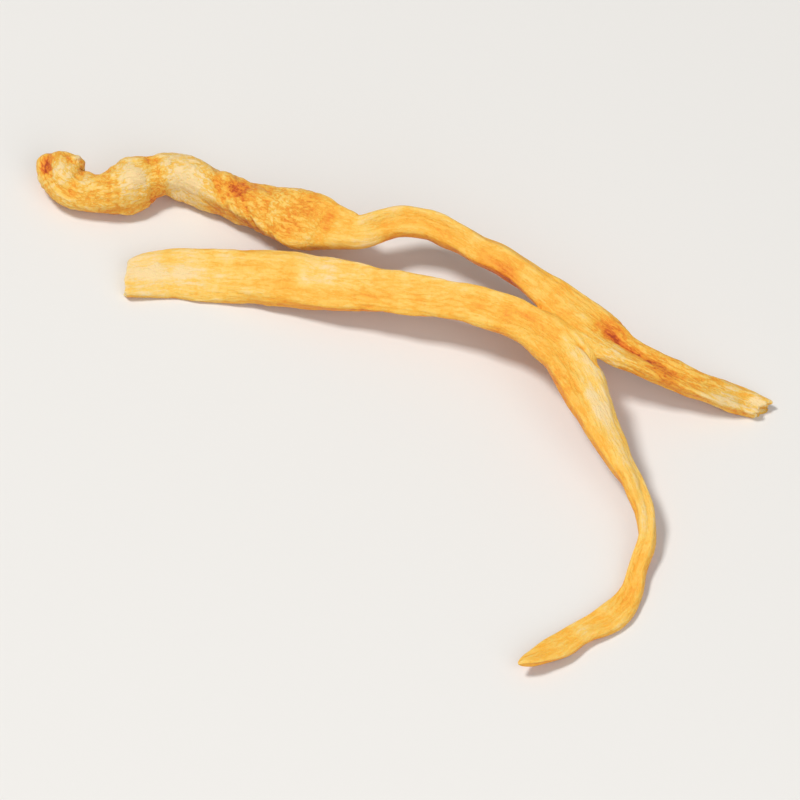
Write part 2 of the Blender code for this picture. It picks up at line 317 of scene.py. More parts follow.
def cut_rows(half_width):
    """The same for a cut end: the rings across the cut face, then those over its rim."""
    inner = 1 - RIM / half_width
    shares = np.linspace(SMALLEST_RING, 0.97, FACE_RINGS)
    face = [(0.0, inner * share, PITH_DISH * (1 - share**2)) for share in shares]
    turns = np.linspace(0.0, 0.9, RIM_RINGS) * math.pi / 2
    rim = [(RIM * (1 - math.cos(turn)), inner + (1 - inner) * math.sin(turn), 0.0) for turn in turns]
    return face + rim


print(f"a tip has {len(tip_rows(TIP_REACH))} rings, a cut end {len(cut_rows(1.0))}")

# %% [markdown]
# Between the ends there is a ring every quarter of a millimetre, and every 0.15 mm on the head, which
# is fine enough for its wrinkles.

# %% Rows of the grid
RING_STEP = 0.25
HEAD_STEP = 0.15
HEAD_LENGTH = 34.0


def grid_rows(limb, start_rows, end_rows, head_length=0.0):
    """Distance, share of full size and dish of every ring, closer together on a head."""
    first = start_rows[-1][0] + HEAD_STEP
    last = limb.length - end_rows[-1][0] - HEAD_STEP
    head = np.arange(first, head_length, HEAD_STEP)
    start = max(first, head_length)
    stalk = np.linspace(start, last, round((last - start) / RING_STEP) + 1)
    rows = start_rows + [(distance, 1.0, 0.0) for distance in (*head, *stalk)]
    rows += [(limb.length - distance, share, -dish) for distance, share, dish in reversed(end_rows)]
    return np.array(rows)


BASE_HALF_WIDTH = 2.2
TORN_HALF_WIDTH = 1.2
stem_rows = grid_rows(stem_limb, cut_rows(BASE_HALF_WIDTH), tip_rows(TIP_REACH))
club_rows = grid_rows(club_limb, tip_rows(KNOB_REACH), cut_rows(TORN_HALF_WIDTH), HEAD_LENGTH)
print(f"{len(stem_rows)} rings on the stem limb, {len(club_rows)} on the club limb")

# %% [markdown]
# ### Small forms of the head
#
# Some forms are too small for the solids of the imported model, but the eye looks for them: the ring
# wrinkles where the knob at the tip curls over, the hollows beside its nodule, short creases across
# the lumps, and the shallow dip behind the orange streak of the short branch. They are lumps and folds
# like those above, only finer or flatter.

# %% Small lumps and wrinkles
SMALL_LUMPS = (
    (0.4, 128, 0.4, -0.2), (1.2, 104, 0.45, -0.25), (2.4, 112, 0.45, -0.28), (1.9, 36, 0.8, -0.3),
    (2.6, 70, 0.5, 0.12), (3.3, 110, 0.5, 0.14), (7.7, 118, 0.5, 0.2), (9.2, 80, 0.8, 0.1),
    (11.7, 60, 0.5, -0.14), (13.6, 100, 0.6, -0.12), (17.2, 90, 0.9, 0.1), (19.9, 70, 0.8, 0.12),
    (22.4, 60, 0.5, -0.16), (23.9, 90, 0.6, 0.14), (69.7, 175, 2.8, -0.65), (72.6, 170, 1.8, -0.12),
)
RING_WRINKLES = (
    (2.3, 0.5, 350, 0.10, 0.2), (2.95, 0.5, 0, 0.12, 0.18), (3.55, 0.6, 10, 0.12, 0.18),
    (4.05, 0.6, 25, 0.10, 0.18), (8.1, 0.4, 60, 0.07, 0.2), (8.9, 0.4, 50, 0.08, 0.2),
    (9.6, 0.3, 70, 0.06, 0.2), (12.1, 0.3, 330, 0.10, 0.22), (13.2, 0.2, 130, 0.10, 0.25),
    (20.4, -2.2, 40, 0.08, 0.2), (23.1, -2.2, 20, 0.10, 0.2), (23.9, -2.2, 20, 0.08, 0.2),
)
print(f"{len(SMALL_LUMPS)} small lumps and dips, {len(RING_WRINKLES)} wrinkles")

# %% [markdown]
# Both ends lean, and neither is clean: the rind stands out a little farther here than there. A slant
# moves each point of the last rings along the limb by its place across it, and a sum of sine waves
# around the rim makes the rim ragged. Both fade out within a few millimetres of the end.

# %% Slanted and ragged ends
SLANT_REACH = 1.0
RAGGED_REACH = 0.5
RAGGED_WAVES = ((3, 0.45, 0.4), (7, 0.33, 2.0), (13, 0.22, 4.1))  # waves around, share, phase


def both_ends(limb, distance, amounts, reach):
    """An amount at the limb's start and another at its end, each fading out within a reach."""
    at_start = amounts[0] * np.exp(-distance / reach)
    return at_start + amounts[1] * np.exp((distance - limb.length) / reach)


def uneven_end(limb, distance, share, angle, side, slants, ragged):
    """How far each point of the last rings is pushed along the limb."""
    lean = both_ends(limb, distance, slants, SLANT_REACH)
    wave = sum(part * np.sin(count * angle + phase) for count, part, phase in RAGGED_WAVES) * share
    return lean * side + wave * both_ends(limb, distance, ragged, RAGGED_REACH)


print(f"a ragged rim is the sum of {len(RAGGED_WAVES)} waves")

# %% [markdown]
# Now the grid can be rolled up. It lies flat from -0.5 to 0.5 each way, so a corner's x says where it
# goes around the limb and its y says on which ring.

# %% The skin of one limb
SIDES = 96


def rolled_skin(limb, rows, slants, ragged, lumps=(), folds=()):
    """A closed bmesh of the limb, rolled from a grid with one row for each ring."""
    mesh = bmesh.new()
    bmesh.ops.create_grid(mesh, x_segments=SIDES, y_segments=len(rows) - 1, size=0.5)
    flat = np.array([corner.co for corner in mesh.verts])
    angle = (flat[:, 0] + 0.5) * math.tau
    row = np.round((flat[:, 1] + 0.5) * (len(rows) - 1)).astype(int)
    distance, share, dish = rows[row].T
    middle, width, thickness, forward, sideways, upward = limb.at(distance)
    side, up = section(angle, width, thickness)
    radius = np.hypot(side, up)
    size = share * (1 + relief(distance, angle, radius, lumps, folds) / radius)
    side *= size
    up *= size
    push = dish + uneven_end(limb, distance, share, angle, side, slants, ragged)
    places = middle + sideways * side[:, None] + upward * up[:, None] + forward * push[:, None]
    for corner, place in zip(mesh.verts, places):
        corner.co = place
    bmesh.ops.remove_doubles(mesh, verts=mesh.verts, dist=0.0001)
    holes = [edge for edge in mesh.edges if edge.is_boundary]
    caps = bmesh.ops.holes_fill(mesh, edges=holes, sides=0)["faces"]
    bmesh.ops.poke(mesh, faces=caps)
    bmesh.ops.recalc_face_normals(mesh, faces=mesh.faces)
    print(f"{limb.name}: {len(rows)} rings, {len(mesh.faces)} faces")
    return mesh


STEM_SLANTS = (-0.25, 0.0)  # at the start and at the end of the limb
STEM_RAGGED = (0.16, 0.0)
CLUB_SLANTS = (0.0, -0.45)
CLUB_RAGGED = (0.0, 0.4)
club_lumps = HEAD_LUMPS + SMALL_LUMPS
club_folds = HEAD_FOLDS + RING_WRINKLES
stem_skin = rolled_skin(stem_limb, stem_rows, STEM_SLANTS, STEM_RAGGED)
club_skin = rolled_skin(club_limb, club_rows, CLUB_SLANTS, CLUB_RAGGED, club_lumps, club_folds)

# %% [markdown]
# ## Growing the limbs together
#
# On the real fruit body the two limbs are one flesh where they cross, with a pad of flesh filling the
# forks. The pad could be sculpted, but a ball scaled flat and turned into the fork has the same shape
# once the seam is softened.

# %% The web of flesh
WEB_MIDDLE = (17.1, 6.3, 6.1)
WEB_HALF_SIZE = (4.4, 2.5, 0.95)
WEB_TURN = -42.0


def web_of_flesh():
    """The low pad of flesh that fills the fork."""
    mesh = bmesh.new()
    bmesh.ops.create_icosphere(mesh, subdivisions=6, radius=1.0)
    bmesh.ops.scale(mesh, vec=WEB_HALF_SIZE, verts=mesh.verts)
    turn = Matrix.Rotation(math.radians(WEB_TURN), 3, "Z")
    bmesh.ops.rotate(mesh, cent=(0, 0, 0), matrix=turn, verts=mesh.verts)
    bmesh.ops.translate(mesh, vec=WEB_MIDDLE, verts=mesh.verts)
    return mesh


web = web_of_flesh()
print(f"web of flesh: {len(web.faces)} faces")

# %% [markdown]
# A Boolean union joins the skins and removes what lies inside. Each skin has a material index of its
# own, so that the seam can be found afterwards: a vertex is on it if its faces have different indices.

# %% The union
def in_scene(name, data):
    """A new object in the scene with this mesh, light or camera."""
    thing = bpy.data.objects.new(name, data)
    bpy.context.scene.collection.objects.link(thing)
    return thing


def as_object(mesh, name, index=0):
    """A new object with this bmesh, every face of it with one material index."""
    for face in mesh.faces:
        face.material_index = index
        face.smooth = True
    data = bpy.data.meshes.new(name)
    mesh.to_mesh(data)
    mesh.free()
    for _ in range(3):  # an empty slot for each of the three indices
        data.materials.append(None)
    return in_scene(name, data)


body = as_object(stem_skin, "fruit_body", 0)
joined = (as_object(club_skin, "club_skin", 1), as_object(web, "web", 2))
for grown in joined:
    join = body.modifiers.new(grown.name, "BOOLEAN")
    join.operation = "UNION"
    join.object = grown
evaluated = body.evaluated_get(bpy.context.evaluated_depsgraph_get())
flesh = bmesh.new()
flesh.from_mesh(evaluated.to_mesh())
body.modifiers.clear()
for grown in joined:
    bpy.data.objects.remove(grown)
open_edges = sum(1 for edge in flesh.edges if len(edge.link_faces) != 2)
print(f"one skin: {len(flesh.faces)} faces, {open_edges} open edges")

# %% [markdown]
# ## Softening the seam
#
# A union leaves a sharp crease where the skins meet, and grown flesh has none. Smoothing moves each
# vertex towards the middle of its neighbours. It is run many times over the vertices near the seam,
# each time over a slightly smaller patch, so that the softened flesh runs out smoothly at its edge.

# %% Smooth near the seam
SOFTENED = 1.7  # millimetres to each side of the seam
SMOOTH_PASSES = 60

seam = [
    vertex for vertex in flesh.verts
    if len({face.material_index for face in vertex.link_faces}) > 1
]
seam_tree = kdtree.KDTree(len(seam))
for number, vertex in enumerate(seam):
    seam_tree.insert(vertex.co, number)
seam_tree.balance()
near_seam = sorted(
    ((seam_tree.find(vertex.co)[2], vertex.index, vertex) for vertex in flesh.verts),
    key=lambda entry: entry[:2],
)
patch = [(gap, vertex) for gap, _, vertex in near_seam if gap < SOFTENED]
for number in range(SMOOTH_PASSES):
    reach = SOFTENED * (1 - number / SMOOTH_PASSES)
    inner = [vertex for gap, vertex in patch if gap <= reach]
    bmesh.ops.smooth_vert(
        flesh, verts=inner, factor=0.5, use_axis_x=True, use_axis_y=True, use_axis_z=True
    )
for face in flesh.faces:
    face.material_index = 0
print(f"softened {len(patch)} vertices around a seam of {len(seam)}")

# %% [markdown]
# ## Where every point is on its limb
#
# Furrows and colours follow the flesh, so each vertex needs to know how far along a limb it is, and
# where it is across it. The nearest sample of the middle line gives both. At the fork a vertex
# belongs to both limbs, and a share says how much it takes from each, so that the furrows of one
# limb run smoothly into those of the other.

# %% Locate the vertices
SHARE_SHARPNESS = 6.0

flesh.verts.ensure_lookup_table()
flesh.normal_update()
places = np.array([vertex.co for vertex in flesh.verts])
normals = np.array([vertex.normal for vertex in flesh.verts])


def located(limb, places):
    """Distance along the limb, place sideways and upward, and how many half sizes out of its middle."""
    tree = kdtree.KDTree(len(limb.distances))
    for number, place in enumerate(limb.rows[:, :3]):
        tree.insert(place, number)
    tree.balance()
    nearest = np.array([tree.find(place)[1] for place in places])
    distance = limb.distances[nearest]
    middle, width, thickness, forward, sideways, upward = limb.at(distance)
    offset = places - middle
    distance = distance + (offset * forward).sum(1)
    side = (offset * sideways).sum(1)
    up = (offset * upward).sum(1)
    return distance, side, up, np.hypot(2 * side / width, 2 * up / thickness)


def blended(stem_value, club_value):
    """One value for each vertex from those of the two limbs."""
    return stem_value * (1 - club_share) + club_value * club_share


on_stem = located(stem_limb, places)
on_club = located(club_limb, places)
club_share = 1 / (1 + np.exp(SHARE_SHARPNESS * (on_club[3] - on_stem[3])))
mostly_club = (club_share > 0.5).sum()
print(f"{mostly_club} vertices on the club limb, {len(places) - mostly_club} on the stem limb")

# %% [markdown]
# ## Furrows and wrinkles
#
# Flesh that dries buckles into rounded ridges parted by sharp valleys. The absolute value of Perlin
# noise has that shape: wherever the noise crosses zero, the absolute value folds into a valley. When
# the noise is read with the distance along the limb squeezed, its valleys stretch into long furrows.
# Each vertex is moved along its normal, so the wrinkles are real form and not a trick of shade.

# %% Ridges that fold into valleys
MEAN_RIDGE = 0.25  # taken off, so that ridges rise about as far as valleys sink


def noise_at(side, up, along):
    """Perlin noise at each of these places, from about -0.7 to 0.7."""
    spots = np.stack([side, up, along], 1).tolist()
    return np.array([noise.noise(Vector(spot)) for spot in spots])


def billows(side, up, along, seed):
    """Rounded ridges parted by sharp valleys: 0 in a valley, up to about 0.7 on a ridge."""
    return np.abs(noise_at(side, up, along + seed))


def ridges(side, up, along, seed, layer):
    """Height of one layer of ridges, in millimetres."""
    per_mm_across, per_mm_along, height, layer_seed = layer
    side = side * per_mm_across
    up = up * per_mm_across
    return height * (billows(side, up, along * per_mm_along, seed + layer_seed) - MEAN_RIDGE)


def soft_step(low, high, value):
    """0 below the low value, 1 above the high one and a smooth rise between them."""
    part = np.clip((value - low) / (high - low), 0.0, 1.0)
    return part * part * (3 - 2 * part)


print(f"a soft step has risen to {soft_step(0.0, 1.0, 0.25):.2f} after a quarter of its way")

# %% [markdown]
# The stalk and the branches have four layers of furrows: wide, fine, finest and short crinkles. They
# wander sideways a little, as straight ones would look combed. The fine layers are also deeper in some
# stretches than in others, because the flesh doesn't shrink evenly.

# %% Furrows of the stalk and the branches
FURROWS = (  # per millimetre across, per millimetre along, height, seed
    (0.5, 0.08, 0.14, 0), (1.3, 0.2, 0.13, 31), (2.6, 0.45, 0.09, 57), (1.2, 1.1, 0.05, 83),
)
WANDER = 1.6  # millimetres
WANDER_ACROSS = 0.25  # per millimetre
WANDER_ALONG = 0.12
SWAY = 0.4
SWAY_LENGTH = 6.3
LEAST_SHRUNK = 0.45
SHRINKING = 1.6
SHRUNK_ACROSS = 0.1
SHRUNK_ALONG = 0.14


def furrows(distance, side, up, seed):
    """Height of the long furrows of a stalk or branch, in millimetres."""
    drift = billows(side * WANDER_ACROSS, up * WANDER_ACROSS, distance * WANDER_ALONG, seed + 5)
    across = side + WANDER * drift + SWAY * np.sin(distance / SWAY_LENGTH + seed)
    wide, fine, finest, crinkle = (ridges(across, up, distance, seed, layer) for layer in FURROWS)
    shrink = billows(distance * SHRUNK_ALONG, side * SHRUNK_ACROSS, up * SHRUNK_ACROSS, seed + 101)
    return wide + (LEAST_SHRUNK + SHRINKING * shrink) * (fine + finest) + crinkle


stem_distance, stem_side, stem_up, _ = on_stem
club_distance, club_side, club_up, _ = on_club
stem_height = furrows(stem_distance, stem_side, stem_up, 3.0)
branch_height = furrows(club_distance, club_side, club_up, 71.0)
print(f"furrows of the stem limb from {stem_height.min():.2f} to {stem_height.max():.2f} mm")

# %% [markdown]
# The head's skin is puckered instead. Its wide and its finest ridges run every way. Between them are
# two layers of creases that wind around the head, because the places at which their noise is read are
# turned along the way. Where the head narrows into its branch, the puckers give way to furrows.

# %% Puckers of the club head
WIDE_PUCKERS = (0.3, 0.24, 0.4, 11)
WOUND_CREASES = ((0.8, 0.45, 0.17, 23), (1.7, 0.6, 0.13, 35))
FINE_PUCKERS = (2.2, 1.8, 0.07, 47)
TWIST = 0.13  # radians that the creases wind around the head per millimetre
HEAD_FADE = (HEAD_LENGTH - 5.0, HEAD_LENGTH + 1.0)


def puckers(distance, side, up, seed):
    """Height of the puckered skin of the club head, in millimetres."""
    turn = TWIST * distance
    across = side * np.cos(turn) - up * np.sin(turn)
    over = side * np.sin(turn) + up * np.cos(turn)
    wide = ridges(side, up, distance, seed, WIDE_PUCKERS)
    middle, narrow = (ridges(across, over, distance, seed, layer) for layer in WOUND_CREASES)
    return wide + middle + narrow + ridges(side, up, distance, seed, FINE_PUCKERS)


head_share = 1 - soft_step(*HEAD_FADE, club_distance)
head_height = puckers(club_distance, club_side, club_up, 5.0)
club_height = (1 - head_share) * branch_height + head_share * head_height
height = blended(stem_height, club_height)
print(f"puckers of the head from {head_height.min():.2f} to {head_height.max():.2f} mm")

# %% [markdown]
# Where two limbs part, the skin between them is drawn into a crease that runs from the fork into the
# fused flesh and fades out. Each is a straight groove on the upper side.

# %% Creases of the fork
FORK_CREASES = (  # start, end, depth and half width
    ((20.2, 1.7), (16.5, 6.1), 0.50, 0.32), ((18.7, 3.6), (16.5, 4.6), 0.18, 0.22),
    ((13.3, 9.7), (16.0, 7.4), 0.40, 0.30), ((15.2, 10.2), (17.1, 7.6), 0.12, 0.22),
)
UPPER_SIDE = (0.1, 0.5)  # the normal's z where it begins and where it is in full


def crease_depth(places, start, end, depth, half_width):
    """How deep a groove from start to end is at each of these places."""
    start = np.array(start)
    run = np.array(end) - start
    part = np.clip((places[:, :2] - start) @ run / (run @ run), 0.0, 1.0)
    gap = np.linalg.norm(places[:, :2] - start - part[:, None] * run, axis=1)
    return depth * (1 - part) * np.exp(-((gap / half_width) ** 2))


upper_side = soft_step(*UPPER_SIDE, normals[:, 2])
fork_crease = sum(crease_depth(places, *crease) for crease in FORK_CREASES) * upper_side
print(f"fork creases to {fork_crease.max():.2f} mm")

# %% [markdown]
# A narrow branch can't carry furrows as deep as the wide stalk's, so the height is scaled by the width
# of the flesh there. The short branch is the exception: it is furrowed nearly twice as deeply, except
# at its torn end.

# %% Scale the wrinkles
FULL_WIDTH = 4.5  # millimetres, where the furrows have their full height
LEAST_HEIGHT = 0.25
MOST_HEIGHT = 1.1
SHORT_BRANCH_DEPTH = 0.9  # how much deeper its furrows are
SHORT_BRANCH_START = (63.0, 69.0)
TORN_FADE = (0.8, 2.5)

stem_width = np.interp(stem_distance, stem_limb.distances, stem_limb.rows[:, 3])
club_width = np.interp(club_distance, club_limb.distances, club_limb.rows[:, 3])
limb_width = blended(stem_width, club_width)
height *= np.clip(limb_width / FULL_WIDTH, LEAST_HEIGHT, MOST_HEIGHT)
on_short_branch = soft_step(*SHORT_BRANCH_START, club_distance) * club_share
from_torn_end = soft_step(*TORN_FADE, club_limb.length - club_distance)
height *= 1 + SHORT_BRANCH_DEPTH * on_short_branch * from_torn_end
height -= fork_crease
print(f"wrinkles from {height.min():.2f} to {height.max():.2f} mm")

# %% [markdown]
# The heights are now pressed into the skin, each along its vertex's normal. Where the body rests on
# the table nothing may go below it. Cutting the skin off at the table would leave a hard edge, so
# logaddexp bends it flat over a few hundredths of a millimetre.

# %% Press the wrinkles into the skin
REST_SOFTNESS = 0.06  # millimetres

skin = places + normals * height[:, None]
skin[:, 2] = REST_SOFTNESS * np.logaddexp(0.0, skin[:, 2] / REST_SOFTNESS)
print(f"{(skin[:, 2] < REST_SOFTNESS).sum()} vertices within {REST_SOFTNESS} mm of the table")

# %% [markdown]
# ## How hollow each spot is
#
# The valleys of the skin are painted a deeper orange than its ridges, as painted shade. To colour
# them, each vertex is compared with a smoothed copy of the skin: where the copy lies outside the skin,
# the spot is in a hollow. A few smoothing passes find fine valleys and many passes find wide ones.

# %% Hollows, fine and wide
FINE_PASSES = 12
WIDE_PASSES = 90

edges = np.array([[vertex.index for vertex in edge.verts] for edge in flesh.edges])
ends = np.concatenate([edges, edges[:, ::-1]])
neighbours = np.bincount(ends[:, 0], minlength=len(skin))


def hollowness(passes):
    """How far a smoothed copy of the skin lies outside it, in millimetres."""
    smooth = skin.copy()
    for _ in range(passes):
        columns = smooth[ends[:, 1]].T
        total = np.stack([np.bincount(ends[:, 0], column, len(skin)) for column in columns], 1)
        smooth = 0.5 * smooth + 0.5 * total / neighbours[:, None]
    return ((smooth - skin) * normals).sum(1)


fine_hollow_shade = hollowness(FINE_PASSES)
wide_hollow_shade = hollowness(WIDE_PASSES)
print(f"fine hollows to {fine_hollow_shade.max():.3f} mm, wide ones to {wide_hollow_shade.max():.3f} mm")

# %% [markdown]
# ## Pale and deep patches
#
# The tone isn't even. It fades to cream along the base stalk, on the big lumps of the club head,
# on the long branch just past the fork and on the torn end: partly the flesh's own pale colour, and
# partly painted highlights on ridges and lumps. It gathers to a deep orange on the knob and in the
# folds of the head, beside the fork and on one side of the long branch: partly the flesh's own colour,
# and partly painted shade in pits, folds, the crotch and the shaded side. Each patch is a soft spot on
# one limb: its distance along the limb, how far it reaches, the side that it faces in degrees, and how
# pale it is. A negative paleness is a deeper orange.

# %% Patches of both limbs
# Pale patches here are partly painted highlights, and deep ones partly painted shade.
STEM_PATCHES = (
    (0, 12, 100, 1.3), (5, 5, 60, 0.7), (21.5, 3.2, 125, 1), (33, 9, 150, 0.35),
    (48, 4, 90, 0.3), (55.5, 8, 350, -0.7), (56.5, 6, 110, 1.1), (55.5, 3, 80, 0.5),
    (65, 4, 120, 0.45), (68.5, 2.5, 90, 0.4), (72, 4, 110, 0.3), (79.5, 2, 200, -0.5),
    (84, 5, 90, 0.9), (92.5, 4, 90, 0.3),
)
CLUB_PATCHES = (  # small ones on the blotchy head
    (1.9, 0.9, 36, -1.6), (1, 0.8, 60, -0.4), (3.2, 1, 92, 0.45), (1.8, 0.8, 138, 0.7),
    (1.8, 0.45, 110, -1.1), (3.2, 0.5, 135, -0.5), (5, 1, 30, -0.4), (6.9, 0.5, 50, -0.4),
    (5.8, 0.8, 90, 0.25), (8.3, 0.6, 60, -0.45), (7.6, 0.4, 60, 0.3), (9.2, 0.7, 20, -0.3),
    (10.7, 1.6, 75, 1.2), (11, 1.3, 40, 0.7), (12.6, 0.9, 110, -1), (12.3, 0.8, 350, -0.7),
    (12.9, 0.5, 60, -0.6), (14.9, 1.8, 100, 0.75), (17.3, 2.2, 65, 0.5), (16, 1.8, 20, 1.4),
    (19.3, 1.9, 40, 1.2), (18.8, 1.6, 345, 0.8), (17.3, 1, 130, -0.5), (22.8, 1.8, 95, -1.6),
    (26, 2, 60, 0.15), (31.5, 2.2, 120, -0.35), (40.1, 5, 120, 0.4), (47, 5, 100, 0.3),
    (55, 2.5, 5, -0.9), (52.1, 2.5, 20, -0.4), (72.7, 0.4, 62, -0.9), (71, 2.2, 35, 0.6),
    (69, 2, 20, 0.5), (74.6, 2.5, 30, 0.45), (79, 3, 70, 0.25), (80.8, 2.2, 50, 0.5),
    (84.2, 3, 90, 1.15),
)
print(f"{len(STEM_PATCHES)} patches on the stem limb, {len(CLUB_PATCHES)} on the club limb")

# %% [markdown]
# A deep orange streak runs slantwise across the short branch: painted shade where the branch dips.
# It is a row of small patches along a way, near enough to melt into each other.

# %% The streak of painted shade
# The streak's deep orange is painted shade where the short branch dips.
PAINTED_SHADE_STREAK = ((67.2, 124), (71.0, 92), (72.8, 58), (75.2, 32))  # turning points: distance, facing
STREAK_REACH = 1.4
STREAK_SPACING = 0.8  # share of the reach
STREAK_PALENESS = -0.75


def patches_along(way, reach, amount):
    """A row of small patches along a way over the skin."""
    distances, facings = zip(*way)
    places = np.arange(distances[0], distances[-1], STREAK_SPACING * reach)
    turns = np.interp(places, distances, facings)
    return [(place, reach, facing, amount) for place, facing in zip(places, turns)]


painted_shade_streak = patches_along(PAINTED_SHADE_STREAK, STREAK_REACH, STREAK_PALENESS)
print(f"{len(painted_shade_streak)} patches in the streak")

# %% [markdown]
# A limb's patches are added up at each vertex, and where the limbs meet the two sums are blended.

# %% Paleness of every vertex
FACING_REACH = 1.3  # how far around its limb a large patch reaches to each side, in radians
USUAL_RADIUS = 2.2
DEEPEST = -2.0
PALEST = 1.4


def paleness_of(distance, side, up, patches):
    """How pale each spot of a limb is: -2 is deep red-orange, 0 golden and 1.4 the palest cream."""
    angle = np.arctan2(up, side)
    pale = np.zeros_like(distance)
    for place, reach, facing, amount in patches:
        around = away_from(angle, facing) / min(FACING_REACH, reach / USUAL_RADIUS)
        pale += amount * np.exp(-(((distance - place) / reach) ** 2) - around**2)
    return np.clip(pale, DEEPEST, PALEST)


club_patches = (*CLUB_PATCHES, *painted_shade_streak)
stem_paleness = paleness_of(stem_distance, stem_side, stem_up, STEM_PATCHES)
club_paleness = paleness_of(club_distance, club_side, club_up, club_patches)
paleness = blended(stem_paleness, club_paleness)
print(f"{(paleness > 0.5).mean():.0%} of the skin is pale, {(paleness < -0.3).mean():.0%} deep orange")

# %% [markdown]
# Real flesh also has faint bands of tone across its length. Perlin noise that is read coarsely across
# the limb and finely along it gives them.

# %% Soft bands across the limbs
BANDS_ACROSS = 0.2  # per millimetre
BANDS_ALONG = 0.55
BAND_PALENESS = 0.45


def bands(distance, side, up, seed):
    """Soft bands across a limb, from about -0.7 to 0.7."""
    return noise_at(side * BANDS_ACROSS, up * BANDS_ACROSS, distance * BANDS_ALONG + seed)


stem_bands = bands(stem_distance, stem_side, stem_up, 12.0)
club_bands = bands(club_distance, club_side, club_up, 41.0)
paleness += BAND_PALENESS * blended(stem_bands, club_bands)
print(f"bands change the paleness by up to {BAND_PALENESS * np.abs(stem_bands).max():.2f}")

# %% [markdown]
# The skin is smooth and evenly coloured on the stalk. It is coarse and blotchy on the club head and
# on the short branch. A number for each vertex says how strongly the material's patterns show there.

# %% Coarseness of every vertex
STALK_COARSENESS = 0.8
COARSER = 0.8

coarse_part = np.maximum(head_share * club_share, on_short_branch)
coarseness = STALK_COARSENESS + COARSER * coarse_part
print(f"{(coarse_part > 0.5).mean():.0%} of the skin is coarse")

# %% [markdown]
# The cut base and the torn end show the pith inside, which is the palest flesh. A vertex is on one of
# these faces if it lies at the end of its limb and its normal points out of that end.

# %% The pith on the end faces
CUT_DEPTH = 1.5
CUT_FACING = (0.35, 0.7)  # how far a normal points out of the end, on the rim and on the face

out_of_base = -(normals @ stem_limb.frames[0, :3])
out_of_torn = normals @ club_limb.frames[-1, :3]
on_base = soft_step(*CUT_FACING, out_of_base) * (stem_distance < CUT_DEPTH)
on_torn = soft_step(*CUT_FACING, out_of_torn) * (club_distance > club_limb.length - CUT_DEPTH)
pith = np.maximum(on_base * (1 - club_share), on_torn * club_share)
paleness += (PALEST - paleness) * pith
print(f"{(pith > 0.5).sum()} vertices on the end faces")

# %% [markdown]
# ## The finished piece
#
# The wrinkled places go back into the mesh, scaled from millimetres to metres. The object itself
# stays at the origin, unturned and unscaled, so that patterns read from its coordinates don't slide.
# It rides on the model's one body and takes the place of its four solids.

# %% Mesh and its place in the model
for vertex, place in zip(flesh.verts, skin):
    vertex.co = place * MM
flesh.to_mesh(body.data)
flesh.free()
body.data.shade_smooth()
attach(body, "root")
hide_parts("stem", "club_branch", "long_branch", "short_branch")
print(f"{body.name}: {len(body.data.vertices)} vertices")

# %% [markdown]
# What the material needs to know about each spot is stored on the mesh as attributes. Two of them are
# places along and across each limb, so that patterns can follow its bends. Along the head a millimetre
# counts more than double, which squeezes the pattern there: fibres turn into short blotches.

# %% Attributes for the material
HEAD_GRAIN = 1.2  # how much the way along the head is lengthened
SIDE_SHADE_FACING = (-0.6, 0.6)  # the normal's z, turned away and turned up


def store(name, values, kind="FLOAT"):
    """Keeps one value for each vertex on the mesh, under a name that the material reads."""
    attribute = body.data.attributes.new(name, kind, "POINT")
    field = "value" if kind == "FLOAT" else "vector"
    attribute.data.foreach_set(field, np.asarray(values, np.float32).ravel())


grain_distance = club_distance + HEAD_GRAIN * np.minimum(club_distance, HEAD_LENGTH)
# Sides and underside, found by the normal's z, are darkened: painted shade over the flesh's own deeper
# side tone.
painted_side_shade = 1 - soft_step(*SIDE_SHADE_FACING, normals[:, 2])
store("stem_way", np.stack([stem_side, stem_up, stem_distance], 1), "FLOAT_VECTOR")
store("club_way", np.stack([club_side, club_up, grain_distance], 1), "FLOAT_VECTOR")
store("club_share", club_share)
store("coarseness", coarseness)
store("paleness", paleness)
# The two hollow measures make the valleys deeper orange in the material: painted shade.
store("fine_hollow_shade", fine_hollow_shade)
store("wide_hollow_shade", wide_hollow_shade * (1 - pith))
store("painted_side_shade", painted_side_shade * (1 - pith))
print(f"paleness from {paleness.min():.1f} to {paleness.max():.1f}")

# %% [markdown]
# ## Dried flesh
#
# One material covers the whole body. A colour ramp runs from red-orange through golden orange to
# cream, and everything that changes the colour only slides along it. Such a material can also be put
# together by hand in the shader editor. Here short helpers add a node and link it in one line.

# %% Node helpers
def add(tree, kind, label="", **settings):
    """A new node with a label and settings."""
    node = tree.nodes.new(kind)
    node.label = label
    for name, value in settings.items():
        setattr(node, name, value)
    return node


def plug(tree, socket, source):
    """Links a socket to another one, or sets it to a value."""
    if isinstance(source, bpy.types.NodeSocket):
        tree.links.new(source, socket)
    else:
        socket.default_value = source


def feed(tree, node, **sources):
    """Feeds the node's inputs by name, with underscores for spaces."""
    for name, source in sources.items():
        plug(tree, node.inputs[name.replace("_", " ")], source)
    return node


def calculated(tree, label, operation, *sources):
    """The result of an operation on these values, in order."""
    node = add(tree, "ShaderNodeMath", label, operation=operation)
    for socket, source in zip(node.inputs, sources):
        plug(tree, socket, source)
    return node.outputs[0]


def plus(tree, label, value, times, base):
    """The value times a factor, plus a base."""
    return calculated(tree, label, "MULTIPLY_ADD", value, times, base)


def attribute(tree, name, output="Fac"):
    """What the mesh keeps under this name."""
    return add(tree, "ShaderNodeAttribute", name, attribute_name=name).outputs[output]


def noise_of(tree, label, vector, scale, detail=3.0, roughness=0.55):
    """Cloudy noise from 0 to 1, read at the vector."""
    node = add(tree, "ShaderNodeTexNoise", label)
    feed(tree, node, Vector=vector, Scale=scale, Detail=detail, Roughness=roughness)
    return node.outputs["Fac"]


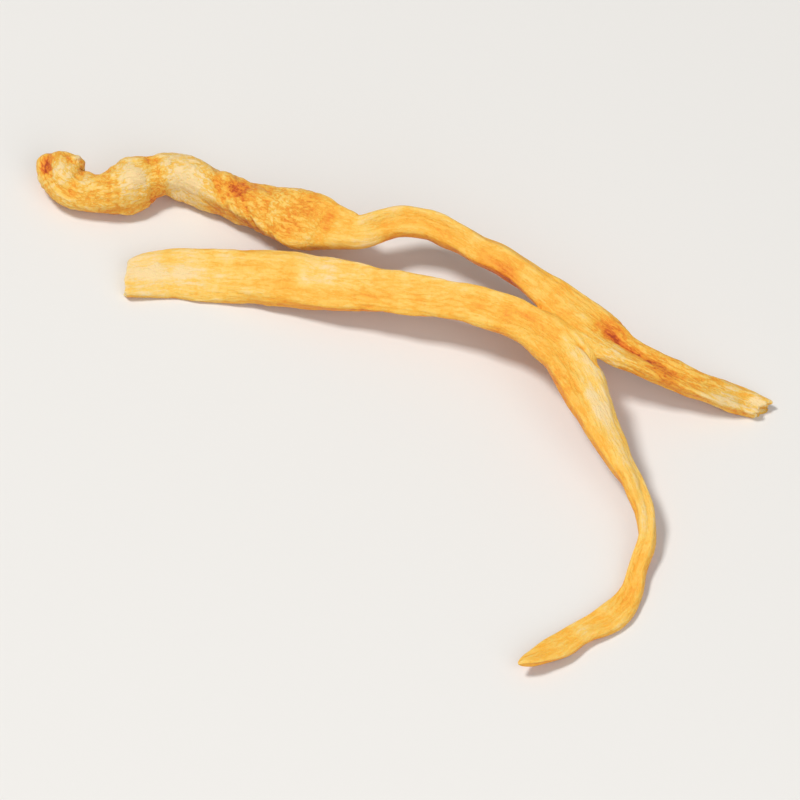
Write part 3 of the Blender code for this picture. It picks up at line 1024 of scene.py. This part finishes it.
def mixed(tree, label, share, first, second):
    """The first value where the share is 0, the second where it is 1."""
    node = add(tree, "ShaderNodeMix", label, data_type="FLOAT")
    feed(tree, node, Factor=share, A=first, B=second)
    return node.outputs["Result"]


# %% [markdown]
# Five patterns make up the skin. Streaks and fibres are noise read with the distance along the limb
# shrunk, which draws each blot out lengthwise. Crinkles are thin valleys in such a noise, found as in
# the mesh by an absolute value. Mottle and grain don't follow the limbs and read plain coordinates.

# %% Patterns of the skin
STRETCHED = 0.22
VALLEY_WIDTH = 0.08


def crinkles(tree, way):
    """0 in thin valleys, 1 on the flat skin between them."""
    ripple = noise_of(tree, "ripple", way, 1.8, 4.0, 0.62)
    middle = plus(tree, "ripple middle", ripple, 1.0, -0.5)
    valley = calculated(tree, "distance from a valley", "ABSOLUTE", middle)
    width = plus(tree, "valley width", valley, 1 / VALLEY_WIDTH, 0.0)
    return calculated(tree, "thin valleys", "MINIMUM", width, 1.0)


def along_limb(tree, way):
    """The way along a limb, shrunk lengthwise."""
    stretched = add(tree, "ShaderNodeMapping", f"along the {way}")
    feed(tree, stretched, Vector=attribute(tree, way, "Vector"), Scale=(1.0, 1.0, STRETCHED))
    return stretched.outputs["Vector"]


def patterns(tree):
    """The sockets of streak, fibre, crinkle, mottle and grain."""
    ways = [along_limb(tree, "stem_way"), along_limb(tree, "club_way")]
    share = attribute(tree, "club_share")
    spot = add(tree, "ShaderNodeTexCoord").outputs["Object"]
    streaks = [noise_of(tree, "streak", way, 1.6, 4.0) for way in ways]
    fibres = [noise_of(tree, "fibre", way, 5.5, 3.0) for way in ways]
    return {
        "streak": mixed(tree, "streaks", share, *streaks),
        "fibre": mixed(tree, "fibres", share, *fibres),
        "crinkle": mixed(tree, "crinkles", share, *(crinkles(tree, way) for way in ways)),
        "mottle": noise_of(tree, "mottle", spot, 260.0, 4.0),
        "grain": noise_of(tree, "grain", spot, 3200.0, 3.0, 0.65),
    }


# %% [markdown]
# The tone is a place on the colour ramp. It starts from the paleness of the spot. The patterns vary it
# where the skin is coarse, and valleys and hollows are deeper, as painted shade. So are the sides and
# underside of the limbs, which are a deeper orange than their tops: partly painted shade, and partly
# the flesh's own colour.

# %% Tone of the skin
GOLDEN = 0.655  # tone where the paleness is 0
PALENESS_TONE = 0.25
# The crinkle term darkens the thin valleys that the bump also cuts: painted shade in those creases.
PATTERN_TONES = {"mottle": 0.30, "streak": 0.14, "grain": 0.3, "crinkle": 0.16}
PATTERN_MIDDLE = -0.49  # takes their middle off again
# Hollows and the sides and underside are darkened here: painted shade.
PAINTED_SHADE_TONES = {"fine_hollow_shade": -1.5, "wide_hollow_shade": -0.3, "painted_side_shade": -0.22}


def tone_of(tree, pattern):
    """Where each spot is on the colour ramp."""
    variation = PATTERN_MIDDLE
    for name, amount in PATTERN_TONES.items():
        variation = plus(tree, f"with {name}", pattern[name], amount, variation)
    tone = plus(tree, "base tone", attribute(tree, "paleness"), PALENESS_TONE, GOLDEN)
    tone = plus(tree, "patterned where coarse", variation, attribute(tree, "coarseness"), tone)
    for name, amount in PAINTED_SHADE_TONES.items():
        tone = plus(tree, f"with {name}", attribute(tree, name), amount, tone)
    return tone


# %% [markdown]
# The ramp's colours are those of the pigment as it thins out, clear of any grey or brown. Its deep end
# also gives the painted shade and its pale end the painted highlights.

# %% Colour ramp for pigment, painted shade and painted highlights
COLOURS = (
    (0.00, (0.42, 0.045, 0.003)),
    (0.20, (0.68, 0.130, 0.007)),
    (0.42, (0.88, 0.300, 0.017)),
    (0.62, (0.93, 0.460, 0.045)),
    (0.80, (0.94, 0.590, 0.120)),
    (1.00, (0.92, 0.680, 0.330)),
)


def ramp_colour(tree, tone):
    """The colour at each spot."""
    ramp = add(tree, "ShaderNodeValToRGB", "ramp_colour")
    feed(tree, ramp, Fac=tone)
    elements = ramp.color_ramp.elements
    while len(elements) < len(COLOURS):
        elements.new(0.5)
    for element, (place, colour) in zip(elements, COLOURS):
        element.position = place
        element.color = (*colour, 1.0)
    return ramp.outputs["Color"]


# %% [markdown]
# Only the finest relief is left to a bump: fibres, grain and crinkles of a few hundredths of a
# millimetre. Real forms so small would need a mesh many times as dense.

# %% Fine relief
GRAIN_RELIEF = 0.9
CRINKLE_RELIEF = 0.3
BUMP_DEPTH = 0.11 * MM


def fine_relief(tree, pattern):
    """A normal that tilts with the finest forms of the skin."""
    coarse = attribute(tree, "coarseness")
    crinkled = plus(tree, "crinkles where coarse", pattern["crinkle"], coarse, 0.0)
    bumps = plus(tree, "fibre and grain", pattern["grain"], GRAIN_RELIEF, pattern["fibre"])
    bumps = plus(tree, "fibre, grain and crinkles", crinkled, CRINKLE_RELIEF, bumps)
    bump = add(tree, "ShaderNodeBump", "fine skin")
    feed(tree, bump, Height=bumps, Strength=0.8, Distance=BUMP_DEPTH)
    return bump.outputs["Normal"]


# %% [markdown]
# Dried flesh is matte, and a little light goes into it and comes out again orange: the subsurface
# radii let red light travel farthest. A faint sheen stands for the finest fuzz.

# %% The material
def dried_flesh():
    """The material of the whole body."""
    material = bpy.data.materials.new("dried_flesh")
    material.use_nodes = True
    tree = material.node_tree
    pattern = patterns(tree)
    colour = ramp_colour(tree, tone_of(tree, pattern))
    rough = plus(tree, "roughness", pattern["grain"], 0.3, 0.42)
    feed(
        tree, tree.nodes["Principled BSDF"], Base_Color=colour, Roughness=rough,
        Normal=fine_relief(tree, pattern), Metallic=0.0, IOR=1.4, Sheen_Weight=0.06,
        Sheen_Roughness=0.5, Subsurface_Weight=0.12, Subsurface_Radius=(1.0, 0.38, 0.1),
        Subsurface_Scale=0.8 * MM,
    )
    return material


body.data.materials.clear()
body.data.materials.append(dried_flesh())
print(f"material with {len(body.data.materials[0].node_tree.nodes)} nodes")

# %% [markdown]
# ## Table, light and camera
#
# The body lies on a plain pale table, one large face that belongs to the stage and not to the model.

# %% Table
TABLE_SIZE = 1.5
TABLE_COLOUR = (0.80, 0.79, 0.77, 1.0)

sheet = bmesh.new()
bmesh.ops.create_grid(sheet, x_segments=1, y_segments=1, size=TABLE_SIZE)
table = as_object(sheet, "table")
paper = bpy.data.materials.new("pale_paper")
paper.use_nodes = True
paper_tree = paper.node_tree
feed(paper_tree, paper_tree.nodes["Principled BSDF"], Base_Color=TABLE_COLOUR, Roughness=0.85)
table.data.materials.clear()
table.data.materials.append(paper)
print("stage:", table.name)

# %% [markdown]
# As in the photograph, soft light falls steeply from above and the left. A dimmer and larger light in
# front opens the shadows, and a faint white world keeps the hollows from going black.

# %% Lights
LIGHTS = (  # name, place, side of the square, power, colour
    ("key", (-0.45, 0.08, 1.0), 0.24, 8.1, (1.0, 0.98, 0.95)),
    ("fill", (0.20, -0.40, 0.32), 0.5, 1.3, (1.0, 1.0, 1.0)),
)
WORLD_STRENGTH = 0.27

for name, place, size, power, colour in LIGHTS:
    lamp = bpy.data.lights.new(name, "AREA")
    lamp.size = size
    lamp.energy = power
    lamp.color = colour
    light = in_scene(name, lamp)
    light.location = place
    light.rotation_euler = (-Vector(place)).to_track_quat("-Z", "Y").to_euler()
    print(f"{name} light: {power} W")
world = bpy.data.worlds.new("studio")
world.use_nodes = True
background = world.node_tree.nodes["Background"]
feed(world.node_tree, background, Color=(1.0, 1.0, 1.0, 1.0), Strength=WORLD_STRENGTH)
bpy.context.scene.world = world
bpy.context.scene.view_settings.view_transform = "Standard"

# %% [markdown]
# The camera looks down at 52 degrees from the front, as in the photograph. A long lens from far away
# keeps the proportions of the limbs, which a near camera would distort.

# %% Camera
VIEW_ANGLE = math.radians(52)  # above the table
CAMERA_DISTANCE = 1.4
FRAME_WIDTH = 0.081
AIM = Vector((0.0, 0.0, 0.003))
SENSOR = 36.0

lens = bpy.data.cameras.new("camera")
lens.sensor_width = SENSOR
lens.lens = SENSOR * CAMERA_DISTANCE / FRAME_WIDTH
lens.clip_start = 0.1
camera = in_scene("camera", lens)
towards_camera = Vector((0.0, -math.cos(VIEW_ANGLE), math.sin(VIEW_ANGLE)))
camera.location = AIM + towards_camera * CAMERA_DISTANCE
camera.rotation_euler = (math.pi / 2 - VIEW_ANGLE, 0.0, 0.0)
bpy.context.scene.camera = camera
print(f"camera with a lens of {lens.lens:.0f} mm")
